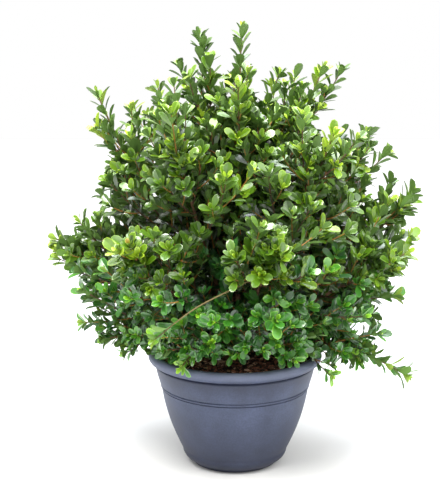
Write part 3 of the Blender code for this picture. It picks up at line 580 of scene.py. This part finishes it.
def side_shoots(paths, rule, slack):
    """A batch of side shoots by a rule: the golden angle apart round each parent, from wide and long at its foot to
    steep and short at its tip, each turning up and outwards as it grows. A shoot that would pass the dome is
    shortened to reach its skin, or a little further by the rule's pride. Returns the paths and their parents."""
    along, across, over = transported(paths)
    batch, count = len(paths), rule.count
    share = np.linspace(0, 1, count)[None] + rng.uniform(-0.3, 0.3, (batch, count)) / count
    share = np.clip(share, 0, 1)
    last = rule.last * leaves_dome(paths)[:, None]
    roots, near = points_at(paths, rule.first + (last - rule.first) * share)
    row = np.arange(batch)[:, None]
    turn = rng.uniform(0, 2 * math.pi, (batch, 1)) + np.arange(count) * GOLDEN_ANGLE
    out = across[row, near] * np.cos(turn)[..., None] + over[row, near] * np.sin(turn)[..., None]
    angle = np.radians(mix_share(*rule.angles, share)) * rng.uniform(0.85, 1.15, share.shape)
    length = mix_share(*rule.lengths, share) * rng.uniform(0.75, 1.15, share.shape)
    heading = along[row, near] * np.cos(angle)[..., None] + out * np.sin(angle)[..., None]
    away = np.hypot(roots[..., 0], roots[..., 1])
    high = np.clip((roots[..., 2] - 0.26) / 0.26, 0, 1)
    rise = mix_share(0.02, 0.45 * away + 0.16, np.clip(high * 2, 0, 1))
    spread = mix_share(1, 0.35, high)
    outward = unit(np.stack([roots[..., 0] * spread, roots[..., 1] * spread, rise], axis=-1))
    track = [roots]
    for _ in range(rule.steps):
        heading = unit(heading)
        track.append(track[-1] + heading * length[..., None] / rule.steps)
        heading = heading + outward * rule.lift / rule.steps
    shoots = np.stack(track, axis=2).reshape(batch * count, rule.steps + 1, 3)
    parents = np.repeat(np.arange(batch), count)
    allowed = 0.95 + rule.pride * rng.uniform(-0.5, 1, len(shoots)) ** 2
    proudest = 1.20 + 0.32 * np.clip((shoots[:, -1, 2] - 0.42) / 0.25, 0, 1)
    leader = rng.random(len(shoots)) < rule.leaders
    shoots = shoots[:, :1] + (shoots - shoots[:, :1]) * np.where(leader, 1.65, 1)[:, None, None]
    allowed = np.where(leader, mix_share(1, proudest, rng.uniform(0.55, 1, len(shoots))), allowed)
    within = (dome_share(shoots) < allowed[:, None]).sum(1) / (rule.steps + 1)
    shoots = shoots[:, :1] + (shoots - shoots[:, :1]) * np.clip(within, 0.30, 1)[:, None, None]
    keep = clear_of_pot(shoots[:, 1:]).all(1) & above_skirt(shoots[:, -1], slack[parents])
    return shoots[keep], parents[keep]


def crossing_shoot(stems, names):
    """The long shoot across the crown's front: a cubic curve from its limb's stem by two corners to its end."""
    root = points_at(stems[[names.index(CROSSING_LIMB)]], np.array([[CROSSING_SHARE]]))[0][0]
    a, b, tip = np.array(CROSSING_CURVE)
    t = np.linspace(0, 1, 41)[:, None]
    line = (1 - t) ** 3 * root + 3 * t * (1 - t) ** 2 * a + 3 * t**2 * (1 - t) * b + t**3 * tip
    line[:, 2:] += 0.0022 * np.sin(t * 11) * t
    return even_line(line, 30)[None]


def hides(points, shoot, margin=0.0055):
    """True for points that lie before a shoot, less than margin from it as seen from the front and above."""
    towards = unit(np.array([0.0, -0.975, 0.222]))
    apart = points[:, None] - shoot[None, 15:27]
    before = apart @ towards
    across = np.linalg.norm(apart - before[..., None] * towards, axis=-1)
    return ((across < margin) & (before > -0.006)).any(1)


def shoot_radii(count, rule):
    return np.repeat(np.linspace(*rule.radii, rule.steps + 1)[None], count, axis=0)


# Leaves


LEAF_ROWS = np.array([0.18, 0.45, 0.72, 0.92])
LEAF_HALF_WIDTHS = np.array([0.30, 0.80, 1.0, 0.68])
# The pale rim is painted light: a lighter band along the leaf's edge for light through its thin margin.
LEAF_RIM = 0.13  # width of the pale rim over half the leaf's width
LEAF_BELLY = 0.58  # where the underside's middle corner lies
INNER_LEAF = ((0.32, 0.74), (0.66, 1.0))  # levels and half widths of a leaf inside the crown
INNER_DEPTH = 0.74  # place in the dome below which a leaf is one


def leaf_template():
    """One leaf's corners as (length share, half-width share, face: 1 above, -1 below) and its triangles. At each
    level lie an outer and an inner corner on either side of the midrib's corner, and a point closes each end. The
    inner part comes first, then the rim, then a fan from one middle corner below to the outline, so the blade is
    closed."""
    corners = [(0, 0, 0)]
    for level, half in zip(LEAF_ROWS, LEAF_HALF_WIDTHS):
        inner = half - LEAF_RIM
        corners += [(level, -half, 0), (level, -inner, 1), (level, 0, 1), (level, inner, 1), (level, half, 0)]
    corners += [(1, 0, 0), (1 - LEAF_RIM / 4, 0, 1), (LEAF_BELLY, 0, -1)]
    tip, inner_tip, belly = range(len(corners) - 3, len(corners))
    last = tip - 5
    blade = [(0, 3, 2), (0, 4, 3)]
    rim = [(0, 2, 1), (0, 5, 4)]
    for first in range(1, last, 5):
        for k in (1, 2):
            near, far = first + k, first + 5 + k
            blade += [(near, near + 1, far + 1), (near, far + 1, far)]
        for k in (0, 3):
            near, far = first + k, first + 5 + k
            rim += [(near, near + 1, far + 1), (near, far + 1, far)]
    blade += [(last + 1, last + 2, inner_tip), (last + 2, last + 3, inner_tip)]
    rim += [(last, last + 1, inner_tip), (last, inner_tip, tip), (last + 3, last + 4, tip), (last + 3, tip, inner_tip)]
    lefts, rights = list(range(1, tip, 5)), list(range(5, tip, 5))
    outline = [0, *lefts, tip, *rights[::-1]]
    below = [(belly, start, end) for start, end in zip(outline, outline[1:] + outline[:1])]
    return np.array(corners, float), np.array(blade + rim + below), (len(blade), len(rim), len(below))


def inner_leaf_template():
    """The same for a leaf inside the crown: two levels and no rim."""
    corners = [(0, 0, 0)]
    for level, half in zip(*INNER_LEAF):
        corners += [(level, -half, 0), (level, 0, 1), (level, half, 0)]
    corners += [(1, 0, 0), (LEAF_BELLY, 0, -1)]
    blade = [(0, 2, 1), (0, 3, 2), (1, 2, 5), (1, 5, 4), (2, 3, 6), (2, 6, 5), (4, 5, 7), (5, 6, 7)]
    outline = [0, 1, 4, 7, 6, 3]
    below = [(8, start, end) for start, end in zip(outline, outline[1:] + outline[:1])]
    return np.array(corners, float), np.array(blade + below), (len(blade), 0, len(below))


def leaf_blades(leaves, corners):
    """Every leaf's corners: along it by its length, across it by its width, folded up from the midrib by its fold
    and bent down towards the tip by its curl times the square of the share."""
    u, v, face = corners.T
    side = unit(np.cross(leaves.along, leaves.facing))
    up = np.cross(side, leaves.along)
    half = leaves.length * leaves.slimness / 2
    lift = np.abs(v) * (half * leaves.fold)[:, None] - (u**2)[None] * (leaves.length * leaves.curl)[:, None]
    lift = lift + face * LEAF_THICKNESS / 2
    points = (
        leaves.root[:, None]
        + leaves.along[:, None] * (u[None] * leaves.length[:, None])[..., None]
        + side[:, None] * (v[None] * half[:, None])[..., None]
        + up[:, None] * lift[..., None]
    )
    return points


Leaves = namedtuple("Leaves", "root along facing length slimness fold curl tone sun limb")


def low_leaf_scale(height):
    """Leaves low in the crown are smaller and closer together."""
    return mix_share(LOW_LEAF_SCALE, 1, np.clip((height - 0.28) / 0.14, 0, 1))


def outer_leaf_scale(points):
    """Leaves on the ends of the low boughs, out past the pot, are as large as those high in the crown."""
    across = np.hypot(points[..., 0], points[..., 1])
    return mix_share(low_leaf_scale(points[..., 2]), 1.04, np.clip((across - 0.19) / 0.08, 0, 1))


def leaves_round(paths, limbs, tones, low, start, spacing=LEAF_SPACING):
    """Leaves round a batch of shoots: one every spacing of its length, the golden angle apart, wide at the foot and
    steeper towards the tip, then a rosette of smaller ones at the end. Their upper faces turn to the shoot's tip
    and to the open side of the crown."""
    along, across, over = transported(paths)
    lengths = np.linalg.norm(np.diff(paths, axis=1), axis=-1).sum(1)
    spacing = spacing * low_leaf_scale(paths[:, -1, 2])
    most = int((lengths / spacing).max()) + 1
    number = np.arange(most)[None]
    share = start + (number + rng.uniform(0.2, 0.8, (len(paths), 1))) * (spacing / lengths)[:, None]
    on_shoot = share < 0.97
    rosette_share = np.repeat(np.linspace(0.955, 0.999, ROSETTE)[None], len(paths), axis=0)
    keep = np.concatenate([on_shoot, rosette_share > 0], axis=1)
    tier = np.concatenate([share * 0, np.repeat(np.linspace(0, 1, ROSETTE)[None], len(paths), axis=0)], axis=1)
    in_rosette = np.arange(keep.shape[1])[None] >= most
    share = np.minimum(np.concatenate([share, rosette_share], axis=1), 0.999)
    roots, near = points_at(paths, share)
    row = np.arange(len(paths))[:, None]
    axis = along[row, near]
    turn = rng.uniform(0, 2 * math.pi, (len(paths), 1)) + np.arange(share.shape[1])[None] * GOLDEN_ANGLE
    turn = turn + rng.normal(0, 0.15, share.shape)
    out = across[row, near] * np.cos(turn)[..., None] + over[row, near] * np.sin(turn)[..., None]
    angle = np.where(in_rosette, mix_share(56, 16, tier), mix_share(48, 36, share))
    angle = np.radians(angle + rng.normal(0, 7, share.shape))[..., None]
    heading = unit(axis * np.cos(angle) + out * np.sin(angle) + np.array([0, 0, 0.12]))
    open_side = unit(roots - DOME_MIDDLE + np.array([0, 0, 0.12]))
    facing = axis * np.sin(angle) - out * np.cos(angle) + open_side * 0.30 + rng.normal(0, 0.15, out.shape)
    length = LEAF_LENGTH * np.where(in_rosette, mix_share(0.95, 0.42, tier), mix_share(0.86, 1.06, share))
    length = length * rng.uniform(0.80, 1.14, share.shape) * outer_leaf_scale(roots)
    depth = dome_share(roots)
    # Deeper in the crown a leaf takes a darker shade: partly older leaves, partly painted shade of the crown's inside.
    tone = tones[:, None] + 3.0 * (np.clip(depth, 0.35, 1.2) - 0.80) + 0.7 * share**3
    tone = tone + np.where(in_rosette, 0.2 + 1.6 * tier**1.6, 0) + rng.normal(0, 0.35, share.shape)
    middle = paths[:, -1]
    sun = (middle[:, 2] + 0.25 * np.hypot(middle[:, 0], middle[:, 1]) + rng.normal(0, 0.025, len(paths))) > 0.42
    sun = np.repeat(sun[:, None], share.shape[1], axis=1)
    limb = np.repeat(limbs[:, None], share.shape[1], axis=1)
    keep &= above_skirt(roots, low[:, None])
    flat = keep.reshape(-1)
    total = int(flat.sum())
    pick = [part.reshape(-1, 3)[flat] for part in (roots, heading, unit(facing))]
    return Leaves(
        *pick, length.reshape(-1)[flat], LEAF_SLIMNESS * rng.uniform(0.88, 1.12, total),
        rng.uniform(0.12, 0.55, total), rng.uniform(-0.04, 0.16, total), tone.reshape(-1)[flat],
        sun.reshape(-1)[flat], limb.reshape(-1)[flat])


# Each tone's colours and roughness: high in the crown in the sun, and low in it
LEAF_SHADES = (
    (("sunlit_leaf_old_shaded", "#1f3608", 0.34), ("low_leaf_old_shaded", "#123310", 0.34)),
    (("sunlit_leaf_old", "#304e09", 0.32), ("low_leaf_old", "#1a4a13", 0.32)),
    (("sunlit_leaf_full_grown", "#466a0a", 0.32), ("low_leaf_full_grown", "#2b6316", 0.32)),
    (("sunlit_leaf_this_year", "#60840d", 0.34), ("low_leaf_this_year", "#438119", 0.34)),
    (("sunlit_leaf_fresh", "#86a41a", 0.38), ("low_leaf_fresh", "#6fa41f", 0.38)),
    (("sunlit_leaf_new", "#b0ca30", 0.42), ("low_leaf_new", "#9ecb33", 0.42)),
)
AMBER_LEAF = ("leaf_ageing_amber", "#a98f3a", 0.42)
UNDERSIDES = (("leaf_underside", "#5d7c3c", 0.45), ("leaf_new_underside", "#93ae4a", 0.45))
AMBER_SHARE = 0.0008


def leaf_materials():
    """Leathery azalea leaves: a waxy upper face that takes a soft glint, and a paler matt underside. Each shade is
    one plain colour, dealt out by spray and by age along it, and darker deep in the crown, partly as painted
    shade."""
    upper = [shader_material(*shade[:2], shade[2], IOR=1.47, Coat_Weight=0.8, Coat_Roughness=0.27)[0]
             for shade in [*(pair[0] for pair in LEAF_SHADES), *(pair[1] for pair in LEAF_SHADES), AMBER_LEAF]]
    under = [shader_material(name, colour, rough, IOR=1.4)[0] for name, colour, rough in UNDERSIDES]
    return upper + under


def make_leaves(leaves, names, materials):
    """Leaf pieces of a few limbs each, with the limbs' foliage nodes replaced."""
    shades = len(LEAF_SHADES)
    age = np.clip(np.floor(leaves.tone), 0, shades - 1).astype(int)
    lower = np.where(leaves.sun, 0, shades)
    blade = np.where(rng.random(len(age)) < AMBER_SHARE, 2 * shades, age + lower)
    # Painted light on the leaf's edge: the rim takes the next lighter shade.
    rim = np.clip(age + 1, 0, shades - 1) + lower
    under = np.where(age >= 4, 2 * shades + 2, 2 * shades + 1)
    dealt = np.stack([blade, rim, under], axis=1)
    inner = dome_share(leaves.root) < INNER_DEPTH
    for first in range(0, len(names), LIMBS_PER_PIECE):
        group = names[first: first + LIMBS_PER_PIECE]
        ours = (leaves.limb >= first) & (leaves.limb < first + LIMBS_PER_PIECE)
        points, faces, picks, start = [], [], [], 0
        for chosen, (corners, triangles, parts) in ((~inner, leaf_template()), (inner, inner_leaf_template())):
            blades = leaf_blades(Leaves(*[part[ours & chosen] for part in leaves]), corners)
            clear = clear_of_pot(blades).all(1)
            blades = blades[clear]
            offsets = start + (np.arange(len(blades)) * len(corners))[:, None, None]
            points.append(blades.reshape(-1, 3))
            faces.append((triangles[None] + offsets).reshape(-1, 3))
            picks.append(np.repeat(dealt[ours & chosen][clear], parts, axis=1).reshape(-1))
            start += len(blades) * len(corners)
        made = piece_from_arrays(f"leaves_{first // LIMBS_PER_PIECE + 1}", np.concatenate(points), faces, materials,
                                 np.concatenate(picks), crease=28)
        dress(made, "foliage", *[f"foliage_{name}" for name in group])


def make_trunk_and_boughs(lines, root_radii, names):
    """Trunk and limbs with the bark's relief: shallow ridges along them and a few swellings."""
    shares = np.linspace(0, 1, 61)
    foot = MIX_HEIGHT + SEAT_GAP
    axis = np.stack([TRUNK_LEAN[0] * shares**2, TRUNK_LEAN[1] * shares**2, foot + (TRUNK_HEIGHT - SEAT_GAP) * shares],
                    axis=1)
    flare = (FLARE_RADIUS - NECK_RADIUS) * np.exp(-shares * 7.0)
    head = (CROWN_RADIUS - NECK_RADIUS) * np.clip((shares - 0.15) / 0.3, 0, 1)
    dome = np.sqrt(np.clip(1 - np.clip((shares - 0.82) / 0.18, 0, 1) ** 2, 0.02, 1))
    radii = (NECK_RADIUS + flare + head) * dome
    turns = np.arange(72) * 2 * math.pi / 72
    on_skin = np.stack([
        np.cos(turns)[None] * np.ones((61, 1)) * 0.016, np.sin(turns)[None] * np.ones((61, 1)) * 0.016,
        np.repeat(axis[:, 2:] * 0.35, 72, axis=1)], axis=-1)
    relief = -0.07 * np.abs(lattice_noise(on_skin, 0.005, 7)) + 0.05 * lattice_noise(on_skin, 0.012, 8)
    relief = relief + 0.10 * np.exp(-shares * 5)[:, None] * np.sin(5 * turns + 1.3)[None]
    bark = azalea_bark()
    trunk = piece_from_arrays("trunk_bark", *tubes(axis[None], radii[None], 72, relief[None]), [bark], crease=60)
    dress(trunk, "bark", "trunk")
    paths = np.array([even_line(line[:44], 56) for line in lines])
    along = np.linspace(0, 43 / 60, 56)
    sides = 12
    skin = paths[:, :, None] * 1.0 + np.stack([
        np.cos(np.arange(sides) * 0.52), np.sin(np.arange(sides) * 0.52), np.zeros(sides)], axis=-1) * 0.02
    relief = 0.10 * lattice_noise(skin, 0.006, 9) + 0.08 * lattice_noise(skin, 0.015, 10)
    boughs = piece_from_arrays("bough_bark", *tubes(paths, limb_radii(root_radii, along[None]), sides, relief), [bark],
                               crease=60)
    dress(boughs, "bark", *[f"bough_{name}" for name in names])


def make_crown():
    names = [f"{ring.name}_{i + 1}" for ring in RINGS for i in range(len(ring.limbs))]
    lines, root_radii = limb_lines()
    make_trunk_and_boughs(lines, root_radii, names)
    stems = np.array([even_line(line[12:], STEM_STATIONS) for line in lines])
    stem_limbs = np.arange(len(lines))
    slack = np.zeros(len(lines))
    slack[:7] = (0.09, 0.04, 0.04, 0.04, 0.03, 0.02, 0.02)
    low = len(RINGS[0].limbs)
    low_sides, low_parents = side_shoots(stems[:low], LOW_SIDE, slack[:low])
    high_sides, high_parents = side_shoots(stems[low:], SIDE, slack[low:])
    sides, side_parents = np.concatenate([low_sides, high_sides]), np.concatenate([low_parents, high_parents + low])
    side_limbs = stem_limbs[side_parents]
    subs, sub_parents = side_shoots(sides, SUB, slack[side_limbs])
    sub_limbs = side_limbs[sub_parents]

    crossing = crossing_shoot(stems, names)
    crossing_limb = np.array([names.index(CROSSING_LIMB)])

    outer = np.array([even_line(line[40:], 12) for line in lines])
    outer_radii = np.linspace(0.0022, 0.0012, 12)[None] * np.ones((len(outer), 1))
    woody = shader_material("twig_grey_brown", "#5c4534", 0.8, IOR=1.45)[0]
    young = shader_material("twig_orange_brown", "#96682f", 0.6, IOR=1.45)[0]
    points_a, faces_a = tubes(sides, shoot_radii(len(sides), SIDE), 5)
    woody_shoots = piece_from_arrays("woody_shoots", points_a, faces_a, [woody], crease=50)
    dress(woody_shoots, "bark")
    points_b, faces_b = tubes(subs, shoot_radii(len(subs), SUB), 4)
    points_c, faces_c = tubes(outer, outer_radii, 6)
    points_d, faces_d = tubes(crossing, np.linspace(0.0015, 0.0009, crossing.shape[1])[None], 6)
    faces_c = [group + len(points_b) for group in faces_c]
    faces_d = [group + len(points_b) + len(points_c) for group in faces_d]
    faces = faces_b + faces_c + faces_d
    picks = np.concatenate([np.full(len(group), int(k > 1)) for k, group in enumerate(faces)])
    olive = shader_material("twig_olive_tan", "#5f522c", 0.6, IOR=1.45)[0]
    young_shoots = piece_from_arrays("young_shoots", np.concatenate([points_b, points_c, points_d]), faces,
                                     [young, olive], picks, crease=50)
    dress(young_shoots, "bark")

    def spray_tones(count):
        """Each spray's own tone, from -1 to 2: most about the same, one in eight in new growth."""
        return 1.2 + rng.normal(0, 0.4, count) + np.where(rng.random(count) < 0.07, 0.9, 0)

    groups = [
        leaves_round(stems, stem_limbs, spray_tones(len(stems)) + 0.3, slack + 0.5, 0.10, LEADER_SPACING),
        leaves_round(sides, side_limbs, spray_tones(len(sides)), slack[side_limbs] + 0.01, 0.12),
        leaves_round(subs, sub_limbs, spray_tones(len(subs)), slack[sub_limbs] + 0.01, 0.15),
    ]
    leaves = Leaves(*[np.concatenate(parts) for parts in zip(*groups)])
    held = ~hides(leaves.root + leaves.along * leaves.length[:, None] * 0.5, crossing[0])
    leaves = Leaves(*[part[held] for part in leaves])
    end = leaves_round(crossing, crossing_limb, np.array([1.8]), np.zeros(1), 0.80)
    leaves = Leaves(*[np.concatenate(parts) for parts in zip(leaves, end)])
    print("leaves", len(leaves.length), "sides", len(sides), "subs", len(subs))
    make_leaves(leaves, names, leaf_materials())


# Floor, light and camera


def add_softbox(name, place, aim, size, power, colour):
    lamp = bpy.data.lights.new(name, "AREA")
    lamp.shape, lamp.size, lamp.energy, lamp.color = "DISK", size, power, linear(colour)
    made = bpy.data.objects.new(name, lamp)
    made.location = place
    direction = np.array(aim, float) - np.array(place, float)
    pitch = math.atan2(math.hypot(direction[0], direction[1]), -direction[2])
    made.rotation_euler = (pitch, 0, math.atan2(direction[1], direction[0]) - math.pi / 2)
    bpy.context.scene.collection.objects.link(made)


def make_studio():
    """A pale floor, a white surround that is brightest overhead, and three soft lights: key, fill and top."""
    paper = shader_material("studio_floor_pale", "#dcdcdc", 0.9)[0]
    points = np.array([(-6, -6, -0.0005), (6, -6, -0.0005), (6, 6, -0.0005), (-6, 6, -0.0005)])
    floor = piece_from_arrays("studio_floor", points, [np.array([[0, 1, 2, 3]])], [paper])
    world = bpy.data.worlds.new("white_surround")
    bpy.context.scene.world = world
    world.use_nodes = True
    tree = world.node_tree
    direction = add_node(tree, "ShaderNodeTexCoord").outputs["Generated"]
    height = add_node(tree, "ShaderNodeSeparateXYZ", inputs={"Vector": direction}).outputs["Z"]
    strength = add_node(tree, "ShaderNodeMapRange", inputs={
        "Value": height, "From Min": 0.0, "From Max": 0.9, "To Min": 0.10, "To Max": 2.2})
    seen = add_node(tree, "ShaderNodeLightPath").outputs["Is Camera Ray"]
    level = add_node(tree, "ShaderNodeMix", inputs={"Factor": seen, "A": strength.outputs["Result"], "B": 1.0})
    background = tree.nodes["Background"]
    background.inputs["Color"].default_value = (1, 1, 1, 1)
    tree.links.new(level.outputs[0], background.inputs["Strength"])
    add_softbox("key", (-0.5, -1.35, 2.65), (0, 0, 0.4), 1.2, 100, "#fffdf8")
    add_softbox("fill", (1.9, -1.5, 1.9), (0, 0, 0.4), 1.6, 27, "#fbfaf4")
    add_softbox("top", (0.1, 0.2, 2.5), (0, 0, 0.4), 2.0, 74, "#eef5ff")
    bpy.context.scene.view_settings.view_transform = "Standard"


def make_camera():
    """The photograph's view: from 1.9 m in front at 0.75 m, looking down by 10.8 degrees."""
    lens = bpy.data.cameras.new("camera")
    lens.sensor_width, lens.lens = 36.0, 81.6
    camera = bpy.data.objects.new("camera", lens)
    camera.location = (-0.0264, -1.9, 0.746)
    camera.rotation_euler = (math.radians(90 - 10.83), 0, 0)
    bpy.context.scene.collection.objects.link(camera)
    bpy.context.scene.camera = camera


make_pot()
make_mix()
make_chips()
make_crown()
make_studio()
make_camera()
